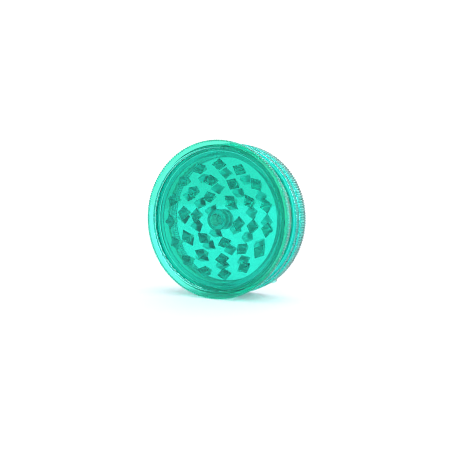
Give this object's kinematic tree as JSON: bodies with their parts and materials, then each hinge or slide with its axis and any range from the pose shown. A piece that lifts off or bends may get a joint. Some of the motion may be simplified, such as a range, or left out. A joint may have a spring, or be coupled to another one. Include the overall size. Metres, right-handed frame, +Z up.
{
  "type": "herb grinder",
  "caption": "Round clear green plastic herb grinder with knurled rims: a toothed lid turns on a pin in a toothed base, and a press-in cap closes a shallow store behind.",
  "frame": {"origin": "point on the floor under the middle of the grinder, which stands on its knurled rims", "axes": "+Z up, +Y along the grinder's turning axis from the lid's face to the storage cap, +X to the right as seen from the lid's side"},
  "size_m": [0.06, 0.02, 0.06],
  "materials": {
    "lid_plastic": "polished, clear green",
    "base_plastic": "polished, clear green",
    "cap_plastic": "polished, clear green",
    "pin_plastic": "polished, clear green"
  },
  "bodies": {
    "base": {"base": "base_plastic"},
    "pivot_pin": {"pivot_pin": "pin_plastic"},
    "lid": {"lid": "lid_plastic"},
    "storage_cap": {"storage_cap": "cap_plastic"}
  },
  "joints": [
    {"name": "lid_lift", "type": "slide", "parent": "base", "child": "pivot_pin", "axis": [0, -1, 0], "range_m": [0, 0.03]},
    {"name": "lid_turn", "type": "hinge", "parent": "pivot_pin", "child": "lid", "pos_m": [0, 0, 0.03], "axis": [0, -1, 0], "continuous": true},
    {"name": "cap_pull", "type": "slide", "parent": "base", "child": "storage_cap", "axis": [0, 1, 0], "range_m": [0, 0.02]}
  ]
}
